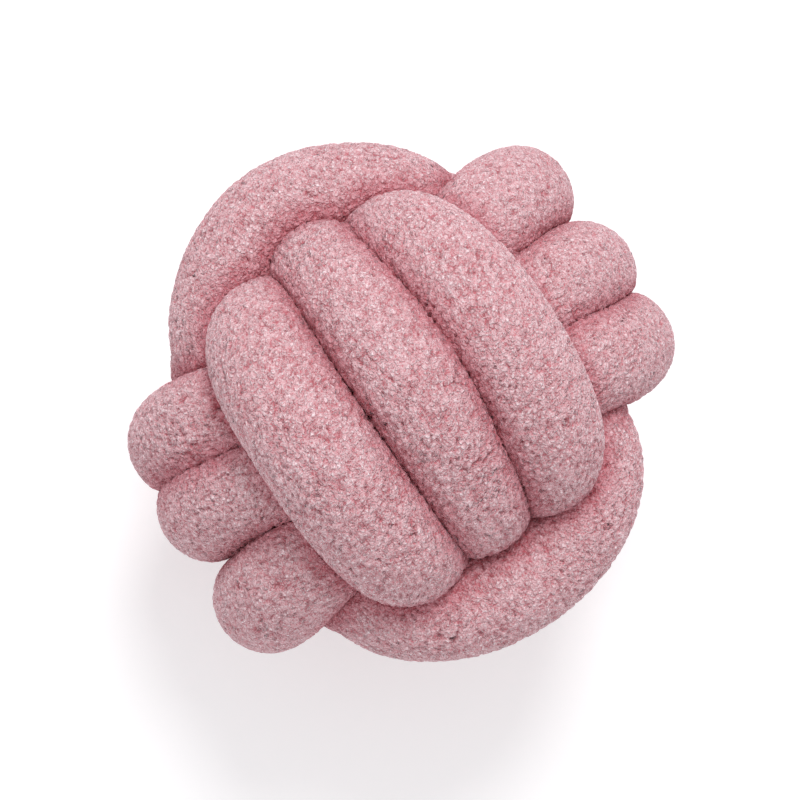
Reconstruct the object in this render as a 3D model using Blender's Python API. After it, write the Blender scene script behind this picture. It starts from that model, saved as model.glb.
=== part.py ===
"""Ball cushion: one long stuffed tube of curly plush, pulled tight as a three-way ball knot.

Three bands of three turns each. Every band lies over one neighbour and under the other.
The ball's centre is at the origin while it is wound. At the end it is set down on its flat spots.
Band A turns about Z, band B about X and band C about Y. Band C shows on the top face.
"""

import bpy
import numpy as np
from mathutils.bvhtree import BVHTree

# Driving sizes, metres
PITCH = 0.0405          # from one turn of a band to the next
OUTER_REACH = 0.1042    # ball centre to the tube's centre where a band lies outermost
INNER_REACH = 0.0726    # the same where the band passes under its neighbour
TUBE_RADIUS = 0.0288    # the stuffed tube where nothing presses on it
TOUCH_DISTANCE = 0.0340     # centre to centre of two stretches pressed together
PRESS_GAP = 0.0010      # first gap between two pressed stretches
CLEARANCE = 0.0003      # least gap between two stretches
FLAT_DEPTH = 0.0050     # how far the lowest turns are flattened by the ball's weight

# Shape of the winding
LOOP_POWER = 2.25       # 2 is an ellipse, more is squarer
SECTION_POWER = 9.0     # how crisp the tube's section turns from round to pressed flat
LEAD_ANGLE = 33.0       # degrees of the last quarter turn that the tube leaves out
SHIFT_SHARE = 0.62      # part of a half turn in which the tube steps to the next lane
INNER_SQUEEZE = 0.18    # how much closer the lanes lie where a band passes under its neighbour
END_BULGE = 0.8         # length of a rounded end in tube radii
ROUTE_SOFTNESS = 0.012  # how widely the first route is smoothed along its length
LINE_SOFTNESS = 0.008   # the same for the settled line

# How the stretches settle against each other
SETTLE_ROUNDS = 160
SETTLE_STEP = 0.011
PUSH_SHARE = 0.35       # part of an overlap that one round pushes apart
PUSH_CROWD = 0.7        # how much many neighbours share one push
BEND_SHARE = 0.48       # how strongly the stuffed tube resists bending
HOLD_INSIDE = 0.004     # how firmly a point inside the ball keeps its place
HOLD_OUTSIDE = 0.080    # the same for a point of an outer pass
HELD_FROM = 2.0 * PITCH     # from the ball's centre, where outer passes begin to keep their places
HELD_WITHIN = 0.4 * PITCH   # over this length
RESPACE_EVERY = 5
OTHER_STRETCH = 2.15 * PITCH    # along the tube, from where a near point is another stretch
NEIGHBOUR_REACH = 2.6 * TUBE_RADIUS     # how near another stretch has to be to press
LEAST_HALF_WAY = 0.002  # least distance from the centreline to a pressed side

# Resolution of the solid
SIDES = 16
RINGS = 360
CAP_RINGS = 4
TURN_STEP = 8.0         # degrees between the points of a turn's route
CURVE_POINTS = 12       # points between two points of the route
DENSE_STEP = 0.004
BEND_DENSITY = 0.05     # how many more rings a bend gets, for each unit of 1 / metre
SHARPEST_BEND = 40.0    # bends past this, in 1 / metre, get no more
PARTING_STEP = 0.0004
PARTING_ROUNDS = 40

# Each band: the axes it reaches out, in and stacks along, the side of its first outer pass,
# the side on which its lanes step over, and the lane of its last turn
BANDS = {
    "A": {"axes": (0, 1, 2), "first": -1, "shift": -1, "last": -1},
    "B": {"axes": (1, 2, 0), "first": 1, "shift": -1, "last": -1},
    "C": {"axes": (2, 0, 1), "first": 1, "shift": -1, "last": 1},
}

# Each turn: band and lane, then in pitches how its outer passes are shifted sideways and reach
# further, and how its inner passes reach further, on the ball's positive and negative side
LANES = [
    # band, lane, offset_pos, offset_neg, outer_pos, outer_neg, inner_pos, inner_neg
    ("A", -1, 0.00, 0.00, -0.10, -0.10, -0.20, -0.20),
    ("A", 0, 0.00, 0.00, 0.00, 0.00, 0.00, 0.00),
    ("A", 1, 0.00, 0.00, 0.06, -0.06, -0.22, 0.03),
    ("B", -1, -0.24, 0.02, 0.10, -0.10, -0.20, -0.20),
    ("B", 0, -0.04, -0.14, 0.28, 0.14, 0.00, 0.00),
    ("B", 1, -0.05, 0.20, 0.18, 0.17, -0.20, -0.20),
    ("C", -1, -0.25, -0.10, -0.05, 0.00, -0.17, -0.35),
    ("C", 0, -0.03, 0.00, 0.00, 0.07, -0.38, 0.22),
    ("C", 1, 0.04, 0.10, -0.05, 0.04, 0.06, -0.55),
]

# Ways through the middle of the ball, in pitches from its centre
START_WAY = [(-0.10, -0.95, 0.95), (-0.55, -1.40, 1.00)]
CROSSING_WAY = [(0.70, -1.45, -0.90), (0.50, -0.75, -0.80), (0.60, 0.10, -0.85), (0.85, 0.80, -1.30)]
END_WAY = [(-1.45, 0.90, -0.70), (-0.80, 0.80, -0.40), (-0.10, 0.70, 0.10), (0.45, 0.45, 0.55)]


def ease(value):
    value = np.clip(value, 0.0, 1.0)
    return value * value * (3.0 - 2.0 * value)


def row_lengths(points):
    """Length from the first point to each point."""
    steps = np.linalg.norm(np.diff(points, axis=0), axis=1)
    return np.concatenate([[0.0], np.cumsum(steps)])


def spaced(points, count):
    """The same line with evenly spaced points."""
    along = row_lengths(points)
    wanted = np.linspace(0.0, along[-1], count)
    return np.stack([np.interp(wanted, along, points[:, axis]) for axis in range(3)], axis=1)


def band_turns(name):
    """Three turns of one band, as squarish loops whose lanes step over on one hidden side."""
    band = BANDS[name]
    rows = {row[1]: row[2:] for row in LANES if row[0] == name}
    lanes = [band["last"] * (outer_pass // 2 - 1) for outer_pass in range(6)]
    offsets = []
    outer_reaches = []
    for outer_pass, lane in enumerate(lanes):
        negative = int(band["first"] * (-1) ** outer_pass < 0)
        offsets.append(PITCH * (lane + rows[lane][negative]))
        outer_reaches.append(OUTER_REACH + PITCH * rows[lane][2 + negative])
    offsets = np.array(offsets)
    outer_reaches = np.array(outer_reaches)
    inner_reaches = []
    for half_turn in range(-1, 6):
        negative = int(band["shift"] * (-1) ** half_turn > 0)
        pair = lanes[max(half_turn, 0)], lanes[min(half_turn + 1, 5)]
        extra = 0.5 * (rows[pair[0]][4 + negative] + rows[pair[1]][4 + negative])
        inner_reaches.append(INNER_REACH + PITCH * extra)
    inner_reaches = np.array(inner_reaches)

    travelled = np.arange(LEAD_ANGLE - 90.0, 990.0 - LEAD_ANGLE, TURN_STEP)
    half_turn = np.clip(np.floor(travelled / 180.0).astype(int), 0, 4)
    share = travelled / 180.0 - half_turn
    first_angle = 0.0 if band["first"] > 0 else 180.0
    angle = np.radians(first_angle - band["first"] * band["shift"] * travelled)

    stepping = ease((share - 0.5) / SHIFT_SHARE + 0.5)
    stack = offsets[half_turn] * (1.0 - stepping) + offsets[half_turn + 1] * stepping
    stack *= 1.0 - INNER_SQUEEZE * np.sin(angle) ** 2
    outer = outer_reaches[half_turn] * (1.0 - ease(share)) + outer_reaches[half_turn + 1] * ease(share)
    inner = inner_reaches[np.floor(travelled / 180.0).astype(int) + 1]
    out_part = np.abs(np.cos(angle) / outer) ** LOOP_POWER
    in_part = np.abs(np.sin(angle) / inner) ** LOOP_POWER
    distance = (out_part + in_part) ** (-1.0 / LOOP_POWER)
    points = np.zeros((len(angle), 3))
    points[:, band["axes"][0]] = distance * np.cos(angle)
    points[:, band["axes"][1]] = distance * np.sin(angle)
    points[:, band["axes"][2]] = stack
    return points


def smooth_through(points, step):
    """Centripetal Catmull-Rom curve through the points, evenly spaced."""
    ends = np.vstack([2.0 * points[0] - points[1], points, 2.0 * points[-1] - points[-2]])
    knots = np.concatenate([[0.0], np.cumsum(np.linalg.norm(np.diff(ends, axis=0), axis=1) ** 0.5)])
    share = np.linspace(0.0, 1.0, CURVE_POINTS, endpoint=False)[:, None]
    pieces = []
    for i in range(1, len(ends) - 2):
        before, here, after, beyond = ends[i - 1:i + 3]
        t0, t1, t2, t3 = knots[i - 1:i + 3]
        slope = (after - here) / (t2 - t1)
        leave = (t2 - t1) * ((here - before) / (t1 - t0) - (after - before) / (t2 - t0) + slope)
        arrive = (t2 - t1) * (slope - (beyond - here) / (t3 - t1) + (beyond - after) / (t3 - t2))
        blend_here = 2 * share ** 3 - 3 * share ** 2 + 1
        blend_leave = share ** 3 - 2 * share ** 2 + share
        blend_arrive = share ** 3 - share ** 2
        pieces.append(blend_here * here + blend_leave * leave
                      + (1 - blend_here) * after + blend_arrive * arrive)
    line = np.vstack(pieces + [ends[-2][None]])
    return spaced(line, int(round(row_lengths(line)[-1] / step)) + 1)


def soften(line, step, width):
    """Gaussian smoothing along the line, ends kept."""
    reach = int(round(3 * width / step))
    weights = np.exp(-0.5 * (np.arange(-reach, reach + 1) * step / width) ** 2)
    weights /= weights.sum()
    padded = np.vstack([np.repeat(line[:1], reach, 0), line, np.repeat(line[-1:], reach, 0)])
    soft = np.stack([np.convolve(padded[:, axis], weights, mode="valid") for axis in range(3)], axis=1)
    soft[0] = line[0]
    soft[-1] = line[-1]
    return soft


def settle(line, step):
    """Push stretches that are too close apart, while outer passes keep their places."""
    home = line.copy()
    order = np.arange(len(line))
    other_stretch = np.abs(order[:, None] - order[None]) * step > OTHER_STRETCH
    outermost = ease((np.linalg.norm(line, axis=1) - HELD_FROM) / HELD_WITHIN)
    hold = (HOLD_INSIDE + (HOLD_OUTSIDE - HOLD_INSIDE) * outermost)[:, None]
    for settle_round in range(SETTLE_ROUNDS):
        apart = line[:, None] - line[None]
        distance = np.linalg.norm(apart, axis=2)
        overlap = np.where(other_stretch, np.maximum(TOUCH_DISTANCE - distance, 0.0), 0.0)
        share = overlap / np.maximum(distance, 1e-6)
        touching = np.maximum((share > 0.0).sum(axis=1), 1)[:, None]
        push = (apart * share[:, :, None]).sum(axis=1) / touching ** PUSH_CROWD
        line = line + PUSH_SHARE * push
        bend = np.zeros_like(line)
        bend[1:-1] = 0.5 * (line[:-2] + line[2:]) - line[1:-1]
        stiffness = np.zeros_like(line)
        stiffness[1:-1] = 0.5 * (bend[:-2] + bend[2:]) - bend[1:-1]
        line = line - BEND_SHARE * stiffness + hold * (home - line)
        if (settle_round + 1) % RESPACE_EVERY == 0:
            line = spaced(line, len(line))
    return line


def centreline():
    """The whole tube's centreline: start, band A, crossing, band B, crossing, band C, end."""
    second_crossing = [(z, -x, y) for x, y, z in CROSSING_WAY]
    route = np.vstack([
        np.array(START_WAY) * PITCH,
        band_turns("A"),
        np.array(CROSSING_WAY) * PITCH,
        band_turns("B"),
        np.array(second_crossing) * PITCH,
        band_turns("C"),
        np.array(END_WAY) * PITCH,
    ])
    line = soften(smooth_through(route, SETTLE_STEP), SETTLE_STEP, ROUTE_SOFTNESS)
    line = settle(spaced(line, len(line)), SETTLE_STEP)
    return soften(smooth_through(line, DENSE_STEP), DENSE_STEP, LINE_SOFTNESS)


def carried_frames(line):
    """Tangent and two cross directions at each point, carried along without twist."""
    tangent = np.gradient(line, axis=0)
    tangent /= np.linalg.norm(tangent, axis=1)[:, None]
    first = np.zeros_like(line)
    start = np.cross(tangent[0], (0.0, 0.0, 1.0))
    first[0] = start / np.linalg.norm(start)
    for i in range(1, len(line)):
        carried = first[i - 1] - tangent[i] * np.dot(first[i - 1], tangent[i])
        first[i] = carried / np.linalg.norm(carried)
    return tangent, first, np.cross(tangent, first)


def ring_places(line, tangent):
    """Ring positions along the line, closer together where it bends."""
    bend = np.linalg.norm(np.gradient(tangent, axis=0), axis=1) / DENSE_STEP
    density = 1.0 + BEND_DENSITY * np.minimum(bend, SHARPEST_BEND)
    travelled = np.concatenate([[0.0], np.cumsum(0.5 * (density[1:] + density[:-1]))])
    wanted = np.linspace(0.0, travelled[-1], RINGS)
    return np.unique(np.round(np.interp(wanted, travelled, np.arange(len(line)))).astype(int))


def pressed_tube(line):
    """Rings of the stuffed tube, each flattened half way to every stretch that touches it."""
    tangent, first, second = carried_frames(line)
    along = row_lengths(line)
    angle = np.arange(SIDES) * 2.0 * np.pi / SIDES
    rings = []
    middles = []
    for place in ring_places(line, tangent):
        spoke = np.cos(angle)[:, None] * first[place] + np.sin(angle)[:, None] * second[place]
        offset = line - line[place]
        distance = np.linalg.norm(offset, axis=1)
        near = (distance < NEIGHBOUR_REACH) & (np.abs(along - along[place]) > OTHER_STRETCH)
        tightest = np.zeros(SIDES)
        if near.any():
            toward = offset[near] / distance[near][:, None]
            half_way = np.maximum((distance[near] - PRESS_GAP) / 2.0, LEAST_HALF_WAY)
            tightest = np.max(np.maximum(spoke @ toward.T, 0.0) / half_way, axis=1)
        radius = (TUBE_RADIUS ** -SECTION_POWER + tightest ** SECTION_POWER) ** (-1.0 / SECTION_POWER)
        rings.append(line[place] + spoke * radius[:, None])
        middles.append(line[place])
    return rings, middles, tangent


def rounded_end(ring, centre, direction):
    """Rings of a closed, rounded end, and its tip."""
    radius = np.mean(np.linalg.norm(ring - centre, axis=1))
    rings = []
    for step in range(1, CAP_RINGS):
        angle = 0.5 * np.pi * step / CAP_RINGS
        shift = direction * radius * END_BULGE * np.sin(angle)
        rings.append(centre + (ring - centre) * np.cos(angle) + shift)
    return rings, centre + direction * radius * END_BULGE


def tube_triangles(ring_count):
    """Two triangles for each side between two rings, and a fan at each tip."""
    low = np.arange(ring_count - 1)[:, None] * SIDES
    side = np.arange(SIDES)[None]
    beside = (side + 1) % SIDES
    lower = np.stack([low + side, low + beside, low + SIDES + beside], axis=-1).reshape(-1, 3)
    upper = np.stack([low + side, low + SIDES + beside, low + SIDES + side], axis=-1).reshape(-1, 3)
    side, beside = side[0], beside[0]
    start_tip = np.full(SIDES, ring_count * SIDES)
    last = (ring_count - 1) * SIDES
    start_fan = np.stack([start_tip, beside, side], axis=-1)
    end_fan = np.stack([start_tip + 1, last + side, last + beside], axis=-1)
    return np.vstack([lower, upper, start_fan, end_fan])


def part_stretches(points, middles, triangles):
    """Draw in the skin where two stretches still meet, until each has its clearance."""
    inward = middles - points
    inward /= np.maximum(np.linalg.norm(inward, axis=1), 1e-9)[:, None]
    for attempt in range(PARTING_ROUNDS):
        swollen = points - inward * CLEARANCE / 2.0
        tree = BVHTree.FromPolygons(swollen.tolist(), triangles.tolist())
        pairs = np.array(tree.overlap(tree), dtype=int).reshape(-1, 2)
        first, second = triangles[pairs[:, 0]], triangles[pairs[:, 1]]
        joined = (first[:, :, None] == second[:, None, :]).any(axis=(1, 2))
        meeting = np.unique(first[~joined])
        if len(meeting) == 0:
            break
        points[meeting] += inward[meeting] * PARTING_STEP
    return points


def tube_mesh():
    line = centreline()
    rings, middles, tangent = pressed_tube(line)
    start_rings, start_tip = rounded_end(rings[0], line[0], -tangent[0])
    end_rings, end_tip = rounded_end(rings[-1], line[-1], tangent[-1])
    rings = start_rings[::-1] + rings + end_rings
    middles = [line[0]] * len(start_rings) + middles + [line[-1]] * len(end_rings)
    points = np.vstack(rings + [start_tip[None], end_tip[None]])
    middles = np.vstack([np.repeat(middles, SIDES, axis=0), line[:1], line[-1:]])
    triangles = tube_triangles(len(rings))
    points = part_stretches(points, middles, triangles)

    floor = points[:, 2].min() + FLAT_DEPTH
    points[:, 2] = np.maximum(points[:, 2], floor) - floor
    points[:, :2] -= (points[:, :2].min(axis=0) + points[:, :2].max(axis=0)) / 2.0
    mesh = bpy.data.meshes.new("knotted_tube")
    mesh.from_pydata(points.tolist(), [], triangles.tolist())
    mesh.shade_smooth()
    return mesh


def plush_material():
    material = bpy.data.materials.new("pink_curly_plush")
    material.use_nodes = True
    shader = material.node_tree.nodes["Principled BSDF"]
    shader.inputs["Base Color"].default_value = (0.60, 0.30, 0.33, 1.0)
    shader.inputs["Roughness"].default_value = 0.95
    shader.inputs["Metallic"].default_value = 0.0
    return material


def build():
    for existing in list(bpy.data.objects):
        bpy.data.objects.remove(existing)
    parts = bpy.data.collections.new("ball_cushion")
    bpy.context.scene.collection.children.link(parts)
    tube = bpy.data.objects.new("knotted_tube", tube_mesh())
    tube.data.materials.append(plush_material())
    parts.objects.link(tube)


build()
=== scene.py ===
import itertools
import math

import bpy
import numpy as np
from mathutils import Matrix, Vector


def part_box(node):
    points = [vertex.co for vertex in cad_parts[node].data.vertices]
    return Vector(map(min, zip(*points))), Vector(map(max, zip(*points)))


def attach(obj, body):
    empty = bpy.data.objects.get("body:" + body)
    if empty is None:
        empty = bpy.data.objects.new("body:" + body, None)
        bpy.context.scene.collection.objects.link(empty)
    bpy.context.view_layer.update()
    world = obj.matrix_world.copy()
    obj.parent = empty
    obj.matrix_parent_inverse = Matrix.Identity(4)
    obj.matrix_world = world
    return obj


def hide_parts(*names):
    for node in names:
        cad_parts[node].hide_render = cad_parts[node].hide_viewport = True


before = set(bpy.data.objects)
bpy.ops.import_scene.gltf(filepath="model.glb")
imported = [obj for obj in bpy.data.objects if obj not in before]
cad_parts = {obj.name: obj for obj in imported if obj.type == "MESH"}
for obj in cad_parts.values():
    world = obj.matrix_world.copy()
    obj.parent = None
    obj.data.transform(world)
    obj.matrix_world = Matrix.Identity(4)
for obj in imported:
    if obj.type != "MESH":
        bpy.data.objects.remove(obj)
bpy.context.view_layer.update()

# Ball cushion: one long stuffed tube of curly pink plush, pulled tight as a three-way ball knot.
# While the tube is wound, the ball's middle is at the origin. After that it is set down on the floor
# where the CAD solid lies. +Z looks out of the face that the photograph shows.

imageSize = 800               # pixels

# How the tube is wound, in metres, as the solid is. Band a turns about Z, band b about X, band c about Y
knot = {
    "pitch": 0.0405,          # from one turn of a band to the next
    "outerReach": 0.1042,     # ball's middle to the tube's middle where a band lies outermost
    "innerReach": 0.0726,     # the same where the band passes under its neighbour
    "tubeRadius": 0.0288,     # the stuffed tube where nothing presses on it
    "touchDistance": 0.0340,  # between the middles of two stretches pressed together
    "pressGap": -0.0030,      # the plush of two pressed stretches reaches this far into each other
    "loopPower": 2.25,        # 2 is an ellipse, more is squarer
    "sectionPower": 12.0,     # how crisp the section turns from round to pressed flat
    "outerPasses": 6,         # a band's three turns each lie outermost twice
    "leadAngle": 33.0,        # degrees of the last quarter turn that the tube leaves out
    "shiftShare": 0.62,       # part of a half turn in which the tube steps to the next lane
    "innerSqueeze": 0.18,     # how much closer the lanes lie where a band passes under
    "endBulge": 0.8,          # length of a rounded end in tube radii
    "routeSoftness": 0.012,
    "lineSoftness": 0.008,
    "turnStep": 8.0,          # degrees between the points of a turn's route
    "curvePoints": 12,        # between two points of the route
    "lineStep": 0.004,
}
pitch = knot["pitch"]

# How the stretches settle against each other
settling = {
    "rounds": 160,
    "step": 0.011,
    "pushShare": 0.35,        # part of an overlap that one round pushes apart
    "pushCrowd": 0.7,         # how much many neighbours share one push
    "bendShare": 0.48,        # how strongly the stuffed tube resists bending
    "holdInside": 0.004,      # how firmly a point inside the ball keeps its place
    "holdOutside": 0.080,     # the same for a point of an outer pass
    "heldFrom": 2.0 * pitch,
    "heldWithin": 0.4 * pitch,
    "respaceEvery": 5,
    "otherStretch": 2.15 * pitch,  # along the tube, from where a near point is another stretch
    "neighbourReach": 2.6 * knot["tubeRadius"],
    "leastHalfWay": 0.002,
}

# Each band: axes it reaches out, in and stacks along, side of its first outer pass, side on which
# its lanes step over, and the lane of its last turn
bands = {
    "a": {"axes": (0, 1, 2), "first": -1, "shift": -1, "last": -1},
    "b": {"axes": (1, 2, 0), "first": 1, "shift": -1, "last": -1},
    "c": {"axes": (2, 0, 1), "first": 1, "shift": -1, "last": 1},
}

# Each turn, in pitches: sideways shift and further reach of its outer passes, and further reach of
# its inner passes, on the ball's positive and negative side
lanes = [
    # band, lane, shiftPos, shiftNeg, outerPos, outerNeg, innerPos, innerNeg
    ("a", -1, 0.00, 0.00, -0.10, -0.10, -0.20, -0.20),
    ("a", 0, 0.00, 0.00, 0.00, 0.00, 0.00, 0.00),
    ("a", 1, 0.00, 0.00, 0.06, -0.06, -0.22, 0.03),
    ("b", -1, -0.24, 0.02, 0.10, -0.10, -0.20, -0.20),
    ("b", 0, -0.04, -0.14, 0.28, 0.14, 0.00, 0.00),
    ("b", 1, -0.05, 0.20, 0.18, 0.17, -0.20, -0.20),
    ("c", -1, -0.25, -0.10, -0.05, 0.00, -0.17, -0.35),
    ("c", 0, -0.03, 0.00, 0.00, 0.07, -0.38, 0.22),
    ("c", 1, 0.04, 0.10, -0.05, 0.04, 0.06, -0.55),
]

# Ways through the middle of the ball, in pitches
startWay = [(-0.10, -0.95, 0.95), (-0.55, -1.40, 1.00)]
crossingWay = [(0.70, -1.45, -0.90), (0.50, -0.75, -0.80), (0.60, 0.10, -0.85), (0.85, 0.80, -1.30)]
endWay = [(-1.45, 0.90, -0.70), (-0.80, 0.80, -0.40), (-0.10, 0.70, 0.10), (0.45, 0.45, 0.55)]

# The skin's grid: fine where it shows, coarse where it is pressed or looks into the ball
skin = {
    "rings": 4460,
    "sides": 111,
    "coarse": 10.0,           # how many times longer the steps are where nothing shows
    "showsFrom": 0.078,       # from the ball's middle, where the skin begins to show
    "showsWithin": 0.014,
    "freeFrom": 0.76,         # share of the full radius, from where a side isn't pressed
    "freeWithin": 0.10,
    "spreadAround": 9.0,      # degrees and metres over which fine steps fade into coarse ones
    "spreadAlong": 0.007,
    "sideGain": 2.0,          # how early a side, or a whole ring, counts as one that shows
    "ringGain": 2.5,
    "outwardSoftness": 0.025,  # length over which the outward side turns along the tube
    "probeSides": 180,
    "wrapSides": 19,          # sides repeated past the seam, so that softening runs across it
    "ringsAtOnce": 160,       # worked out together, to save memory
    "capRings": 10,
}
skinMarks = ("dome", "crease", "paintedGrooveShade", "paintedValleyShade")  # what each point of the skin tells its material

# The curly pile, metres
pile = {
    "curl": 0.0040,           # between curls
    "curlRound": 3.6,         # higher is rounder curls with thinner gaps
    "curlHeight": 0.00205,
    "meanDome": 0.8,          # height in a curl that lies at the tube's own radius
    "curlMargin": 0.1,        # share of its cell that a curl's middle keeps from the near side
    "curlSpread": 0.8,        # share of its cell that a curl's middle is scattered over
    "curlWarp": 0.0010,       # how far curls are pushed out of their rows
    "warpSize": 0.0030,
    "tuftAlong": 0.0046,      # short creases across the tube, where the pile parts
    "tuftAround": 0.0100,
    "creaseDepth": 0.0012,
    "creaseWidth": 0.09,
    "creaseWarp": 0.0010,
    "finerShare": 0.45,       # smaller waves that make the creases ragged, and how much smaller
    "finerAlong": 2.3,
    "finerAround": 3.1,
    "patchAlong": 0.0060,     # patches with and without creases
    "patchAround": 0.0080,
    "patchContrast": 1.3,
    "lumpSize": 0.034,        # unevenness of the stuffing
    "lumpHeight": 0.0009,
    "pressedShare": 0.90,     # height of the curls left where two stretches press
    "fullFrom": 0.80,         # share of the full radius, from where the curls rise to their full height
    "fullWithin": 0.16,
    "groovePressed": 0.10,    # share of the radius lost where the skin is at the bottom of a groove
    "valleyReach": 0.015,     # how far from the next stretch the painted shade reaches
}

# Which random field each use reads
noiseLayer = {"warp": (11, 13, 17), "curl": 31, "crease": 41, "finer": 43, "patch": 61, "lump": 71}
wordBits = 0xffffffff         # 32 bits
numberBits = 0x3fffffff       # the 30 bits that a cell's number has
axisBits = 1023               # the 10 of them that scatter a point along one axis


def ease(value):
    # 0 below 0, 1 above 1, and between them 3 v^2 - 2 v^3
    value = np.clip(value, 0.0, 1.0)
    return value * value * (3.0 - 2.0 * value)


def lengthsAlong(points):
    # running sum of the distances between neighbouring points
    return np.concatenate([[0.0], np.cumsum(np.linalg.norm(np.diff(points, axis=0), axis=1))])


def spacedEvenly(points, count):
    # the same line read at even lengths
    along = lengthsAlong(points)
    wanted = np.linspace(0.0, along[-1], count)
    return np.stack([np.interp(wanted, along, points[:, axis]) for axis in range(3)], axis=1)


def bandTurns(name):
    # one band: a loop of distance (|cos/outer|^p + |sin/inner|^p)^(-1/p) from the middle at each angle,
    # whose height steps from lane to lane on one side, eased over part of a half turn
    band = bands[name]
    rows = {row[1]: row[2:] for row in lanes if row[0] == name}
    passes = knot["outerPasses"]
    passLanes = [band["last"] * (outerPass // 2 - 1) for outerPass in range(passes)]
    shifts = []
    outers = []
    for outerPass, lane in enumerate(passLanes):
        negative = int(band["first"] * (-1) ** outerPass < 0)
        shifts.append(pitch * (lane + rows[lane][negative]))
        outers.append(knot["outerReach"] + pitch * rows[lane][2 + negative])
    shifts, outers = np.array(shifts), np.array(outers)
    inners = []
    for halfTurn in range(-1, passes):
        negative = int(band["shift"] * (-1) ** halfTurn > 0)
        before, after = passLanes[max(halfTurn, 0)], passLanes[min(halfTurn + 1, passes - 1)]
        further = 0.5 * (rows[before][4 + negative] + rows[after][4 + negative])
        inners.append(knot["innerReach"] + pitch * further)
    inners = np.array(inners)

    lastAngle = 180.0 * (passes - 1) + 90.0
    travelled = np.arange(knot["leadAngle"] - 90.0, lastAngle - knot["leadAngle"], knot["turnStep"])
    halfTurn = np.clip(np.floor(travelled / 180.0).astype(int), 0, passes - 2)
    share = travelled / 180.0 - halfTurn
    firstAngle = 0.0 if band["first"] > 0 else 180.0
    angle = np.radians(firstAngle - band["first"] * band["shift"] * travelled)

    stepping = ease((share - 0.5) / knot["shiftShare"] + 0.5)
    stack = shifts[halfTurn] * (1.0 - stepping) + shifts[halfTurn + 1] * stepping
    stack *= 1.0 - knot["innerSqueeze"] * np.sin(angle) ** 2
    outer = outers[halfTurn] * (1.0 - ease(share)) + outers[halfTurn + 1] * ease(share)
    inner = inners[np.floor(travelled / 180.0).astype(int) + 1]
    power = knot["loopPower"]
    wide, deep = np.abs(np.cos(angle) / outer), np.abs(np.sin(angle) / inner)
    distance = (wide ** power + deep ** power) ** (-1.0 / power)
    points = np.zeros((len(angle), 3))
    points[:, band["axes"][0]] = distance * np.cos(angle)
    points[:, band["axes"][1]] = distance * np.sin(angle)
    points[:, band["axes"][2]] = stack
    return points


def smoothThrough(points, step):
    # centripetal Catmull-Rom: Hermite pieces whose slopes are weighted by the square roots of the spans
    ends = np.vstack([2.0 * points[0] - points[1], points, 2.0 * points[-1] - points[-2]])
    knots = np.concatenate([[0.0], np.cumsum(np.linalg.norm(np.diff(ends, axis=0), axis=1) ** 0.5)])
    before, here, after, beyond = (ends[i:len(ends) - 3 + i, None] for i in range(4))
    t0, t1, t2, t3 = (knots[i:len(ends) - 3 + i, None, None] for i in range(4))
    slope = (after - here) / (t2 - t1)
    leave = (t2 - t1) * ((here - before) / (t1 - t0) - (after - before) / (t2 - t0) + slope)
    arrive = (t2 - t1) * (slope - (beyond - here) / (t3 - t1) + (beyond - after) / (t3 - t2))
    share = np.linspace(0.0, 1.0, knot["curvePoints"], endpoint=False)[None, :, None]
    line = ((2 * share ** 3 - 3 * share ** 2 + 1) * here + (share ** 3 - 2 * share ** 2 + share) * leave
            + (3 * share ** 2 - 2 * share ** 3) * after + (share ** 3 - share ** 2) * arrive)
    line = np.vstack([line.reshape(-1, 3), ends[-2]])
    return spacedEvenly(line, int(round(lengthsAlong(line)[-1] / step)) + 1)


def softened(values, step, width):
    # weighted mean with the neighbours along the line, weights exp(-0.5 (distance / width)^2)
    reach = int(round(3 * width / step))
    weights = np.exp(-0.5 * (np.arange(-reach, reach + 1) * step / width) ** 2)
    weights /= weights.sum()
    padded = np.vstack([np.repeat(values[:1], reach, 0), values, np.repeat(values[-1:], reach, 0)])
    columns = [np.convolve(column, weights, mode="valid") for column in padded.T]
    return np.stack(columns, axis=1)


def softLine(line, step, width):
    # the same, with the line's two ends held
    soft = softened(line, step, width)
    soft[0], soft[-1] = line[0], line[-1]
    return soft


def settled(line, step):
    # each round pushes every pair of stretches apart by a share of their overlap, straightens the tube by
    # a share of its bending, and draws each point back towards its first place
    home = line.copy()
    order = np.arange(len(line))
    otherStretch = np.abs(order[:, None] - order[None]) * step > settling["otherStretch"]
    outermost = ease((np.linalg.norm(line, axis=1) - settling["heldFrom"]) / settling["heldWithin"])
    hold = settling["holdInside"] + (settling["holdOutside"] - settling["holdInside"]) * outermost[:, None]
    for settleRound in range(settling["rounds"]):
        apart = line[:, None] - line[None]
        distance = np.linalg.norm(apart, axis=2)
        overlap = np.where(otherStretch, np.maximum(knot["touchDistance"] - distance, 0.0), 0.0)
        share = overlap / np.maximum(distance, 1e-6)
        touching = np.maximum((share > 0.0).sum(axis=1), 1)[:, None]
        push = settling["pushShare"] * (apart * share[:, :, None]).sum(axis=1)
        line = line + push / touching ** settling["pushCrowd"]
        bend = np.zeros_like(line)
        bend[1:-1] = 0.5 * (line[:-2] + line[2:]) - line[1:-1]
        stiffness = np.zeros_like(line)
        stiffness[1:-1] = 0.5 * (bend[:-2] + bend[2:]) - bend[1:-1]
        line = line - settling["bendShare"] * stiffness + hold * (home - line)
        if (settleRound + 1) % settling["respaceEvery"] == 0:
            line = spacedEvenly(line, len(line))
    return line


def tubeLine():
    # start, band a, way across, band b, way across, band c, end, as one smooth settled line
    secondCrossing = [(z, -x, y) for x, y, z in crossingWay]
    route = np.vstack([
        np.array(startWay) * pitch, bandTurns("a"), np.array(crossingWay) * pitch, bandTurns("b"),
        np.array(secondCrossing) * pitch, bandTurns("c"), np.array(endWay) * pitch,
    ])
    step = settling["step"]
    line = softLine(smoothThrough(route, step), step, knot["routeSoftness"])
    line = settled(spacedEvenly(line, len(line)), step)
    return softLine(smoothThrough(line, knot["lineStep"]), knot["lineStep"], knot["lineSoftness"])


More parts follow.
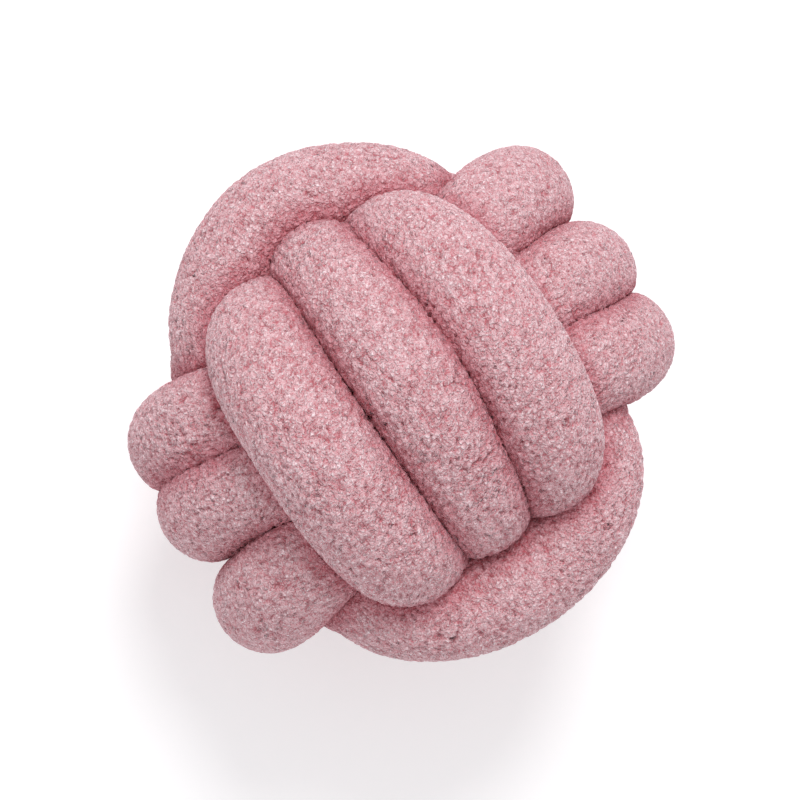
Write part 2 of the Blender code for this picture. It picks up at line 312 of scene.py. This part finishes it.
def carriedFrames(line):
    # along the line, and two cross directions that are carried from point to point without twist
    tangent = np.gradient(line, axis=0)
    tangent /= np.linalg.norm(tangent, axis=1)[:, None]
    first = np.zeros_like(line)
    start = np.cross(tangent[0], (0.0, 0.0, 1.0))
    first[0] = start / np.linalg.norm(start)
    for i in range(1, len(line)):
        carried = first[i - 1] - tangent[i] * np.dot(first[i - 1], tangent[i])
        first[i] = carried / np.linalg.norm(carried)
    return tangent, first, np.cross(tangent, first)


def placesByDensity(positions, density, count):
    # positions read where the running sum of the density reaches even shares
    travelled = np.concatenate([[0.0], np.cumsum(0.5 * (density[1:] + density[:-1]) * np.diff(positions))])
    return np.interp(np.linspace(0.0, travelled[-1], count), travelled, positions)


def pressedRadius(middles, along, spokes, line, lineAlong):
    # (R^-p + g^p)^(-1/p), where g is the largest of cos(angle to a neighbour) / half its distance.
    # Also gives the gap from there to the next stretch: the distance to its middle line, less R
    radius = np.full(spokes.shape[:2], knot["tubeRadius"])
    gap = np.full(spokes.shape[:2], knot["tubeRadius"])
    power = knot["sectionPower"]
    for block in np.array_split(np.arange(len(middles)), max(1, len(middles) // skin["ringsAtOnce"])):
        offset = line[None] - middles[block, None]
        distance = np.linalg.norm(offset, axis=2)
        near = distance < settling["neighbourReach"]
        near &= np.abs(lineAlong[None] - along[block, None]) > settling["otherStretch"]
        used = near.any(axis=0)
        if not used.any():
            continue
        offset, distance, near = offset[:, used], distance[:, used], near[:, used]
        halfWay = np.maximum((distance - knot["pressGap"]) / 2.0, settling["leastHalfWay"])
        toward = np.where(near, 1.0 / (np.maximum(distance, 1e-9) * halfWay), 0.0)
        reach = spokes[block] @ offset.transpose(0, 2, 1)
        tightest = np.maximum((reach * toward[:, None]).max(axis=2), 0.0)
        pressed = (knot["tubeRadius"] ** -power + tightest ** power) ** (-1.0 / power)
        squared = np.where(near, distance ** 2, 1.0)  # 1.0 is too far off to be the next stretch
        apart = squared[:, None] - 2.0 * pressed[:, :, None] * reach
        gap[block] = np.sqrt(np.maximum(apart.min(axis=2) + pressed ** 2, 0.0)) - knot["tubeRadius"]
        radius[block] = pressed
    return radius, gap


def cellNumber(column, row, depth, layer):
    # a whole number of 30 bits for each cell of a grid, from products and shifts of its own numbers
    mixed = (column * 374761393 + row * 668265263 + depth * 2147483629 + layer * 974634777) & wordBits
    mixed = ((mixed ^ (mixed >> 13)) * 1274126177) & wordBits
    mixed = ((mixed ^ (mixed >> 16)) * 2246822519) & wordBits
    return (mixed ^ (mixed >> 15)) & numberBits


def smoothSpace(points, layer):
    # one random number per corner of a unit grid, eased between the eight round each point, -1 to 1
    corner = np.floor(points)
    share = ease(points - corner)
    corner = corner.astype(np.int64)
    total = np.zeros(points.shape[:-1])
    for x, y, z in itertools.product((0, 1), repeat=3):
        weight = np.ones(points.shape[:-1])
        for axis, step in enumerate((x, y, z)):
            weight *= share[..., axis] if step else 1.0 - share[..., axis]
        number = cellNumber(corner[..., 0] + x, corner[..., 1] + y, corner[..., 2] + z, layer)
        total += weight * number / float(numberBits)
    return 2.0 * total - 1.0


def smoothField(across, up, layer):
    # the same on a surface's two parameters
    return smoothSpace(np.stack([across, up, np.zeros_like(up)], axis=-1), layer)


def cellDistances(points, layer):
    # distances to the nearest and second nearest of one scattered point per cell of a unit grid
    cell = np.floor(points).astype(np.int64)
    nearest = np.full(points.shape[:-1], np.inf)
    second = np.full(points.shape[:-1], np.inf)
    for x, y, z in itertools.product((-1, 0, 1), repeat=3):
        corner = (cell[..., 0] + x, cell[..., 1] + y, cell[..., 2] + z)
        number = cellNumber(*corner, layer)
        squared = 0.0
        for axis in range(3):
            scatter = pile["curlSpread"] * ((number >> (10 * axis)) & axisBits) / axisBits
            squared = squared + (points[..., axis] - corner[axis] - pile["curlMargin"] - scatter) ** 2
        distance = np.sqrt(squared)
        second = np.minimum(second, np.maximum(distance, nearest))
        nearest = np.minimum(nearest, distance)
    return nearest, second


def pileField(points, along, around):
    # curls are domes (1 - ratio^curlRound)^0.5 round points scattered in space and bent by smooth noise.
    # The ratio is the distance to the nearest point over that to the second, so that every curl is full
    # and the gaps are thin. Creases are where a noise stretched round the tube crosses 0, in patches
    warps = [smoothSpace(points / pile["warpSize"], layer) for layer in noiseLayer["warp"]]
    bend = np.stack(warps, axis=-1)
    nearest, second = cellDistances((points + pile["curlWarp"] * bend) / pile["curl"], noiseLayer["curl"])
    dome = np.sqrt(np.clip(1.0 - (nearest / second) ** pile["curlRound"], 0.0, 1.0))
    x, y = along + pile["creaseWarp"] * bend[..., 0], around + pile["creaseWarp"] * bend[..., 1]
    tuftX, tuftY = x / pile["tuftAlong"], y / pile["tuftAround"]
    wave = smoothField(tuftX, tuftY, noiseLayer["crease"])
    finer = smoothField(tuftX * pile["finerAlong"], tuftY * pile["finerAround"], noiseLayer["finer"])
    wave += pile["finerShare"] * finer
    patch = smoothField(x / pile["patchAlong"], y / pile["patchAround"], noiseLayer["patch"])
    strength = ease(0.5 + pile["patchContrast"] * patch)
    return dome, (1.0 - ease(np.abs(wave) / pile["creaseWidth"])) * strength


def gridDensity(shows):
    # 1 where the skin shows, down to 1 / coarse where it doesn't
    return 1.0 / skin["coarse"] + (1.0 - 1.0 / skin["coarse"]) * shows


def sidesByRing(line, along, first, second, outAngle):
    # angles of the grid's sides for each ring: the running sum of the density, which is high where
    # the skin shows, reaches even shares there. Also gives how much of each ring shows
    probe = np.linspace(-np.pi, np.pi, skin["probeSides"] + 1)
    spokes = spokesAt(outAngle[:, None] + probe[None], first, second)
    radii = pressedRadius(line, along, spokes, line, along)[0]
    distance = np.linalg.norm(line[:, None] + radii[:, :, None] * spokes, axis=2)
    shows = ease((distance - skin["showsFrom"]) / skin["showsWithin"])
    shows *= ease((radii / knot["tubeRadius"] - skin["freeFrom"]) / skin["freeWithin"])
    wrap = skin["wrapSides"]
    around = np.concatenate([shows[:, -wrap - 1:-1], shows, shows[:, 1:wrap + 1]], axis=1)
    around = softened(around.T, 360.0 / skin["probeSides"], skin["spreadAround"]).T
    shows = softened(around[:, wrap:-wrap], along[1] - along[0], skin["spreadAlong"])
    density = gridDensity(np.clip(skin["sideGain"] * shows, 0.0, 1.0))
    steps = 0.5 * (density[:, 1:] + density[:, :-1])
    travelled = np.concatenate([np.zeros((len(along), 1)), np.cumsum(steps, axis=1)], axis=1)
    share = np.arange(skin["sides"]) / skin["sides"]
    side = np.array([np.interp(share * sums[-1], sums, probe) for sums in travelled])
    return side, np.clip(skin["ringGain"] * shows.max(axis=1), 0.0, 1.0)


def spokesAt(angle, first, second):
    # cos(angle) x first + sin(angle) x second, for every ring and side
    return np.cos(angle)[:, :, None] * first[:, None] + np.sin(angle)[:, :, None] * second[:, None]


def readRows(wanted, along, values):
    # every column of a table, read between its rows
    return np.stack([np.interp(wanted, along, values[:, axis]) for axis in range(values.shape[1])], axis=1)


def skinGrid():
    # rings along the settled line and sides around it, both closer where the skin shows. Each point is
    # middle + pressed radius x spoke, and the pile stands out along the spoke
    line = tubeLine()
    lineAlong = lengthsAlong(line)
    print("line settled:", round(lineAlong[-1], 2), "metres of tube")

    # the outward side as an angle from the first cross direction, softened along the line
    tangent, first, second = carriedFrames(line)
    reach = np.linalg.norm(line, axis=1)
    outward = line / reach[:, None]
    turned = np.stack([(outward * first).sum(axis=1), (outward * second).sum(axis=1)], axis=1)
    turned = softened(turned * reach[:, None], knot["lineStep"], skin["outwardSoftness"])
    outAngle = np.unwrap(np.arctan2(turned[:, 1], turned[:, 0]))

    lineSide, shows = sidesByRing(line, lineAlong, first, second, outAngle)
    along = placesByDensity(lineAlong, gridDensity(shows), skin["rings"])

    middles = readRows(along, lineAlong, line)
    tangent = readRows(along, lineAlong, tangent)
    tangent /= np.linalg.norm(tangent, axis=1)[:, None]
    first = readRows(along, lineAlong, first)
    first -= tangent * (first * tangent).sum(axis=1)[:, None]
    first /= np.linalg.norm(first, axis=1)[:, None]
    second = np.cross(tangent, first)
    side = readRows(along, lineAlong, lineSide)
    angle = np.interp(along, lineAlong, outAngle)[:, None] + side

    radius = knot["tubeRadius"]
    spokes = spokesAt(angle, first, second)
    radii, gaps = pressedRadius(middles, along, spokes, line, lineAlong)
    smooth = middles[:, None] + radii[:, :, None] * spokes
    dome, crease = pileField(smooth, np.broadcast_to(along[:, None], side.shape), radius * side)
    full = ease((radii / radius - pile["fullFrom"]) / pile["fullWithin"])
    free = pile["pressedShare"] + (1.0 - pile["pressedShare"]) * full
    lump = pile["lumpHeight"] * smoothSpace(smooth / pile["lumpSize"], noiseLayer["lump"])
    height = pile["curlHeight"] * (dome - pile["meanDome"]) - pile["creaseDepth"] * crease
    points = smooth + spokes * (free * (height + lump))[:, :, None]
    # mask for painted shade: where the skin is pressed, at the bottom of a groove
    paintedGrooveShade = ease((1.0 - radii / radius) / pile["groovePressed"])
    # mask for painted shade: how near the skin lies to the next stretch
    paintedValleyShade = ease(1.0 - gaps / pile["valleyReach"])
    return {"points": points, "along": along, "side": side, "dome": dome, "crease": crease,
            "paintedGrooveShade": paintedGrooveShade, "paintedValleyShade": paintedValleyShade, "middles": middles, "tangent": tangent}


def closedTube(grid):
    # the grid's rings, with shrinking rings and a tip at each end: ring x cos + direction x radius x sin
    turn = 0.5 * np.pi * np.arange(1, skin["capRings"]) / skin["capRings"]
    caps = {}
    for end, way, order in ((0, -1.0, slice(None, None, -1)), (-1, 1.0, slice(None))):
        ring, middle, direction = grid["points"][end], grid["middles"][end], way * grid["tangent"][end]
        radius = np.linalg.norm(ring - middle, axis=1).mean() * knot["endBulge"]
        rise = radius * np.sin(turn)[:, None]
        cap = middle + (ring - middle)[None] * np.cos(turn)[:, None, None] + direction * rise[:, :, None]
        caps[end] = {"points": cap[order], "along": (grid["along"][end] + way * rise[:, 0])[order],
                     "tip": middle + direction * radius}
        for key in ("side", *skinMarks):
            caps[end][key] = np.repeat(grid[key][end][None], len(turn), axis=0)
    closed = {}
    for key in ("points", "along", "side", *skinMarks):
        closed[key] = np.concatenate([caps[0][key], grid[key], caps[-1][key]])
    closed["tips"] = np.array([caps[0]["tip"], caps[-1]["tip"]])
    return closed


def tubeMesh(name):
    tube = closedTube(skinGrid())
    rings, sides = tube["points"].shape[:2]

    # set down where the solid lies: same middle in X and Y, same top, flat on the floor
    low, high = (np.array(corner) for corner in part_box("knotted_tube"))
    points = np.vstack([tube["points"].reshape(-1, 3), tube["tips"]])
    shift = 0.5 * (low + high) - 0.5 * (points.min(axis=0) + points.max(axis=0))
    shift[2] = high[2] - points[:, 2].max()
    points += shift
    points[:, 2] = np.maximum(points[:, 2], low[2])

    # quads from each ring to the next, and a fan of triangles round each tip
    ring = np.arange(rings - 1)[:, None] * sides
    nextRing = ring + sides
    side = np.arange(sides)[None]
    beside = (side + 1) % sides
    quads = np.stack([ring + side, ring + beside, nextRing + beside, nextRing + side], axis=-1)
    quads = quads.reshape(-1, 4)
    startFan = np.stack([np.full(sides, rings * sides), beside[0], side[0]], axis=-1)
    last = (rings - 1) * sides
    endFan = np.stack([np.full(sides, rings * sides + 1), last + side[0], last + beside[0]], axis=-1)

    mesh = bpy.data.meshes.new(name)
    corners = np.concatenate([quads.ravel(), startFan.ravel(), endFan.ravel()])
    starts = np.concatenate([np.arange(len(quads)) * 4, len(quads) * 4 + np.arange(2 * sides) * 3])
    mesh.vertices.add(len(points))
    mesh.vertices.foreach_set("co", points.astype(np.float32).ravel())
    mesh.loops.add(len(corners))
    mesh.loops.foreach_set("vertex_index", corners.astype(np.int32))
    mesh.polygons.add(len(starts))
    mesh.polygons.foreach_set("loop_start", starts.astype(np.int32))

    # UV in metres: along the tube, and around it from the outward side. The seam faces the ball's middle
    v = knot["tubeRadius"] * np.concatenate([tube["side"], tube["side"][:, :1] + 2.0 * np.pi], axis=1)
    u = np.repeat(tube["along"][:, None], sides + 1, axis=1)
    uv = np.stack([u, v], axis=-1)
    quadUv = np.stack([uv[:-1, :-1], uv[:-1, 1:], uv[1:, 1:], uv[1:, :-1]], axis=2)
    startUv = np.stack([uv[0, :-1], uv[0, 1:], uv[0, :-1]], axis=1)
    endUv = np.stack([uv[-1, :-1], uv[-1, :-1], uv[-1, 1:]], axis=1)
    cornerUv = np.concatenate([part.ravel() for part in (quadUv, startUv, endUv)])
    layer = mesh.uv_layers.new(name="tubeLength")
    layer.data.foreach_set("uv", cornerUv.astype(np.float32))

    for label in skinMarks:
        attribute = mesh.attributes.new(label, "FLOAT", "POINT")
        values = np.append(tube[label].ravel(), [0.0, 0.0])  # the two tips last
        attribute.data.foreach_set("value", values.astype(np.float32))
    mesh.update(calc_edges=True)
    mesh.shade_smooth()
    print("skin:", rings, "rings x", sides, "sides,", 2 * len(quads) + 2 * sides, "triangles")
    return mesh, Vector(shift)  # where the ball's middle, which was at the origin, now lies


# The plush's finish: colours are linear
plush = {
    # painted highlight: the near-white glints at the curls' tips
    "glint": (1.0, 0.83, 0.86),
    "tip": (0.81, 0.52, 0.55),
    "body": (0.70, 0.36, 0.39),
    # painted shade: the deep colour in the pile's gaps and creases
    "root": (0.61, 0.19, 0.22),
    "paintedGrooveShade": (0.76, 0.20, 0.23),   # painted shade: deep rose at the bottom of a groove, where two stretches press
    "paintedValleyShade": (0.84, 0.56, 0.60),   # painted shade: multiplies the colour beside the next stretch
    "grooveShare": 0.60,      # how far the bottom of a groove takes the painted shade colour
    "grooveStrands": 0.45,    # how far the strands stand out of that
    "stops": (0.26, 0.62),    # how high in the pile the body and tip colours lie
    "noiseMiddle": 0.5,
    "roughness": 0.60,
    "specular": 0.08,
    "sheen": 0.20,
    "sheenRoughness": 0.35,
    "sheenTint": (0.88, 0.84, 0.92),
    "bendSize": 0.0026,       # strands and small curls are bent by a noise of this size
    "bendReach": 0.0012,      # and this far, metres
    "smallCurl": 0.0022,      # between the small curls that the skin's grid is too coarse for, metres
    "smallCurlEdge": 0.34,    # share of its size over which a small curl falls away
    "strand": 0.0014,         # between curly strands, metres
    "strandWidth": 0.11,      # share of the noise's range on each side of its middle
    "strandShare": 0.22,      # how far a strand stands out of the fibre ends
    "lock": 0.0009,           # across the broken ends of fibres
    "lockDetail": 1.5,
    "lockRoughness": 0.90,
    "driftSize": 0.05,        # slow change of tone over the whole cushion
    "driftDetail": 2.0,
    "bump": 0.0006,           # height of a small curl, metres
    "reliefByFuzz": 0.8,      # the same for strands and fibre ends, where a small curl's is 1
    "level": -0.21,           # how the colour follows the height in the pile
    "byDome": 0.48,
    "bySmallCurl": 0.24,
    "byFuzz": 1.6,
    "byDrift": 0.06,
    "byCrease": -0.45,
}


def plushMaterial():
    material = bpy.data.materials.new("curlyPinkPlush")
    material.use_nodes = True
    nodes, links = material.node_tree.nodes, material.node_tree.links
    shader = nodes["Principled BSDF"]
    shader.inputs["Roughness"].default_value = plush["roughness"]
    shader.inputs["Specular IOR Level"].default_value = plush["specular"]
    shader.inputs["Sheen Weight"].default_value = plush["sheen"]
    shader.inputs["Sheen Roughness"].default_value = plush["sheenRoughness"]
    shader.inputs["Sheen Tint"].default_value = (*plush["sheenTint"], 1.0)

    # each helper makes one node, links or sets its inputs, and gives its output
    def put(socket, value):
        if hasattr(value, "is_linked"):
            links.new(value, socket)
        elif isinstance(value, tuple) and len(value) == 3 and socket.type == "RGBA":
            socket.default_value = (*value, 1.0)
        else:
            socket.default_value = value

    def node(kind, settings=(), **values):
        made = nodes.new(kind)
        for key, value in dict(settings).items():
            setattr(made, key, value)
        for key, value in values.items():
            put(made.inputs[key.replace("_", " ")], value)
        return made

    def sums(operation, first, second=0.0, third=0.0, clamp=False):
        made = nodes.new("ShaderNodeMath")
        made.operation = operation
        made.use_clamp = clamp
        for socket, value in zip(made.inputs, (first, second, third)):
            put(socket, value)
        return made.outputs[0]

    def vectors(operation, first, second):
        made = nodes.new("ShaderNodeVectorMath")
        made.operation = operation
        put(made.inputs[0], first)
        put(made.inputs["Scale"] if operation == "SCALE" else made.inputs[1], second)
        return made.outputs[0]

    def between(value, low, high):
        made = nodes.new("ShaderNodeMapRange")
        made.interpolation_type = "SMOOTHSTEP"
        for socket, given in zip(made.inputs, (value, low, high, 0.0, 1.0)):
            put(socket, given)
        return made.outputs[0]

    def mixed(share, first, second, blend="MIX"):
        made = nodes.new("ShaderNodeMix")
        made.data_type = "RGBA"
        made.blend_type = blend
        sockets = (made.inputs[0], made.inputs[6], made.inputs[7])  # the share and the two colours
        for socket, value in zip(sockets, (share, first, second)):
            put(socket, value)
        return made.outputs[2]  # the mixed colour

    place = nodes.new("ShaderNodeTexCoord").outputs["Object"]
    marks = [node("ShaderNodeAttribute", {"attribute_name": label}).outputs["Fac"] for label in skinMarks]
    dome, crease, paintedGrooveShade, paintedValleyShade = marks

    # Curly strands: thin lines where a noise crosses its middle, two of them over each other
    bend = node("ShaderNodeTexNoise", Vector=place, Scale=1.0 / plush["bendSize"], Detail=1.0)
    bent = vectors("SUBTRACT", bend.outputs["Color"], (plush["noiseMiddle"],) * 3)
    bent = vectors("ADD", place, vectors("SCALE", bent, plush["bendReach"]))
    waves = node("ShaderNodeTexNoise", Vector=bent, Scale=1.0 / plush["strand"], Detail=0.0)
    strands = []
    for wave in node("ShaderNodeSeparateColor", Color=waves.outputs["Color"]).outputs[:2]:
        offMiddle = sums("ABSOLUTE", sums("SUBTRACT", wave, plush["noiseMiddle"]))
        strands.append(between(offMiddle, plush["strandWidth"], 0.0))
    strand = sums("MAXIMUM", *strands)
    lock = node("ShaderNodeTexNoise", Vector=bent, Scale=1.0 / plush["lock"], Detail=plush["lockDetail"],
                Roughness=plush["lockRoughness"]).outputs["Fac"]
    drift = node("ShaderNodeTexNoise", Vector=place, Scale=1.0 / plush["driftSize"],
                 Detail=plush["driftDetail"]).outputs["Fac"]
    fuzz = sums("MULTIPLY_ADD", strand, plush["strandShare"], sums("SUBTRACT", lock, plush["noiseMiddle"]))

    # Small curls: cells that fall away towards their edges
    cell = node("ShaderNodeTexVoronoi", {"feature": "DISTANCE_TO_EDGE"}, Vector=bent,
                Scale=1.0 / plush["smallCurl"])
    curl = between(cell.outputs["Distance"], 0.0, plush["smallCurlEdge"])

    # How high in the pile: 0 in its gaps, 1 at its tips. Its colour is painted shade low down, in the gaps
    # between curls and small curls and along the creases, the pile's own pink higher up, and painted
    # glints at the very top
    height = sums("MULTIPLY_ADD", dome, plush["byDome"], plush["level"])
    height = sums("MULTIPLY_ADD", curl, plush["bySmallCurl"], height)
    height = sums("MULTIPLY_ADD", fuzz, plush["byFuzz"], height)
    height = sums("MULTIPLY_ADD", drift, plush["byDrift"], height)
    height = sums("MULTIPLY_ADD", crease, plush["byCrease"], height, clamp=True)
    # colour ramp from painted shade (root) through the pile's body and tip colours to painted glints
    ramp = nodes.new("ShaderNodeValToRGB")
    stops = ramp.color_ramp.elements
    stops[0].position, stops[0].color = 0.0, (*plush["root"], 1.0)
    stops[1].position, stops[1].color = 1.0, (*plush["glint"], 1.0)
    for position, name in zip(plush["stops"], ("body", "tip")):
        stops.new(position).color = (*plush[name], 1.0)
    links.new(height, ramp.inputs["Fac"])
    # painted shade at the bottom of grooves, where the tubes press together, broken by strands
    share = sums("MULTIPLY_ADD", strand, -plush["grooveStrands"], plush["grooveShare"])
    share = sums("MULTIPLY", paintedGrooveShade, share)
    # painted shade: darker beside the next stretch
    colour = mixed(paintedValleyShade, ramp.outputs["Color"], plush["paintedValleyShade"], "MULTIPLY")
    colour = mixed(share, colour, plush["paintedGrooveShade"])
    links.new(colour, shader.inputs["Base Color"])

    relief = sums("MULTIPLY_ADD", fuzz, plush["reliefByFuzz"], curl)
    bump = node("ShaderNodeBump", Strength=1.0, Distance=plush["bump"], Height=relief)
    links.new(bump.outputs["Normal"], shader.inputs["Normal"])
    return material


def knottedTube():
    mesh, middle = tubeMesh("curlyTube")
    cushion = bpy.data.objects.new("curlyTube", mesh)
    cushion.data.materials.append(plushMaterial())
    bpy.context.scene.collection.objects.link(cushion)
    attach(cushion, "root")
    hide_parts("knotted_tube")
    print("tube done, ball's middle at", [round(value, 4) for value in middle])
    return middle


# The photograph's view, worked out from the ball's outline
view = {
    "toCamera": (0.0381, -0.0946),    # lean of the way to the camera, X and Y per unit of Z
    "turn": 56.7749,                  # degrees from the picture's right to the front turns' direction
    "distance": 0.8,
    "pixelsPerMetre": 1937.2,         # at the ball's middle
    "middlePixel": (398.28, 399.34),  # where the photograph shows it
    "sensorWidth": 36.0,              # millimetres
    "clip": (0.01, 20.0),             # nearest and farthest, metres
}


def photoCamera(middle):
    # w leans from the ball's middle to the camera. The lens gives the photograph's pixels per metre there
    w = Vector((*view["toCamera"], 1.0)).normalized()
    turn = math.radians(view["turn"])
    x = (Vector((1.0, 0.0, 0.0)) - w * w.x).normalized()
    y = w.cross(x)
    right = x * math.cos(turn) + y * math.sin(turn)
    down = x * math.sin(turn) - y * math.cos(turn)
    data = bpy.data.cameras.new("photoCamera")
    focalPixels = view["pixelsPerMetre"] * view["distance"]
    data.sensor_width = view["sensorWidth"]
    data.lens = focalPixels * data.sensor_width / imageSize
    data.shift_x = (imageSize / 2 - view["middlePixel"][0]) / imageSize
    data.shift_y = (view["middlePixel"][1] - imageSize / 2) / imageSize
    data.clip_start, data.clip_end = view["clip"]
    camera = bpy.data.objects.new("photoCamera", data)
    camera.matrix_world = Matrix((
        (right.x, -down.x, w.x, middle[0] + w.x * view["distance"]),
        (right.y, -down.y, w.y, middle[1] + w.y * view["distance"]),
        (right.z, -down.z, w.z, middle[2] + w.z * view["distance"]),
        (0.0, 0.0, 0.0, 1.0),
    ))
    bpy.context.scene.collection.objects.link(camera)
    bpy.context.scene.camera = camera
    print("camera done")
    return right, -down, w


# Floor and lights: an even sky, and a soft lamp before the ball, over the picture's upper side
studio = {
    "floorColour": (0.90, 0.90, 0.90),
    "floorRoughness": 0.9,
    "floorSpecular": 0.1,
    "glowColour": (1.0, 1.0, 1.0),
    "floorGlow": 0.22,        # lifts the shadow, as a lit studio table does
    "floorHalf": 12.0,
    "sky": (0.98, 0.98, 1.0),
    "skyStrength": 0.76,
    "keyPower": 18.8,
    "keySize": 0.7,
    "keyUp": 1.25,            # from the ball, towards the picture's upper side
    "keyRight": 0.25,         # towards its right
    "keyOut": 1.55,           # and towards the camera
}


def softLamp(name, place, target, size, power):
    # a round lamp that faces its target
    data = bpy.data.lights.new(name, "AREA")
    data.shape = "DISK"
    data.size = size
    data.energy = power
    lamp = bpy.data.objects.new(name, data)
    facing = (place - target).to_track_quat("Z", "Y").to_matrix().to_4x4()
    lamp.matrix_world = Matrix.Translation(place) @ facing
    bpy.context.scene.collection.objects.link(lamp)


def studioSet(right, up, out, middle):
    half = studio["floorHalf"]
    mesh = bpy.data.meshes.new("floor")
    corners = [(-half, -half, 0.0), (half, -half, 0.0), (half, half, 0.0), (-half, half, 0.0)]
    mesh.from_pydata(corners, [], [(0, 1, 2, 3)])
    material = bpy.data.materials.new("paleFloor")
    material.use_nodes = True
    shader = material.node_tree.nodes["Principled BSDF"]
    shader.inputs["Base Color"].default_value = (*studio["floorColour"], 1.0)
    shader.inputs["Emission Color"].default_value = (*studio["glowColour"], 1.0)
    shader.inputs["Emission Strength"].default_value = studio["floorGlow"]
    shader.inputs["Roughness"].default_value = studio["floorRoughness"]
    shader.inputs["Specular IOR Level"].default_value = studio["floorSpecular"]
    mesh.materials.append(material)
    floor = bpy.data.objects.new("floor", mesh)
    bpy.context.scene.collection.objects.link(floor)

    keyPlace = middle + up * studio["keyUp"] + right * studio["keyRight"] + out * studio["keyOut"]
    softLamp("keyLamp", keyPlace, middle, studio["keySize"], studio["keyPower"])
    world = bpy.data.worlds.new("studio")
    world.use_nodes = True
    background = world.node_tree.nodes["Background"]
    background.inputs["Color"].default_value = (*studio["sky"], 1.0)
    background.inputs["Strength"].default_value = studio["skyStrength"]
    bpy.context.scene.world = world
    bpy.context.scene.view_settings.view_transform = "Standard"
    print("studio done")


ballMiddle = knottedTube()
right, up, out = photoCamera(ballMiddle)
studioSet(right, up, out, ballMiddle)
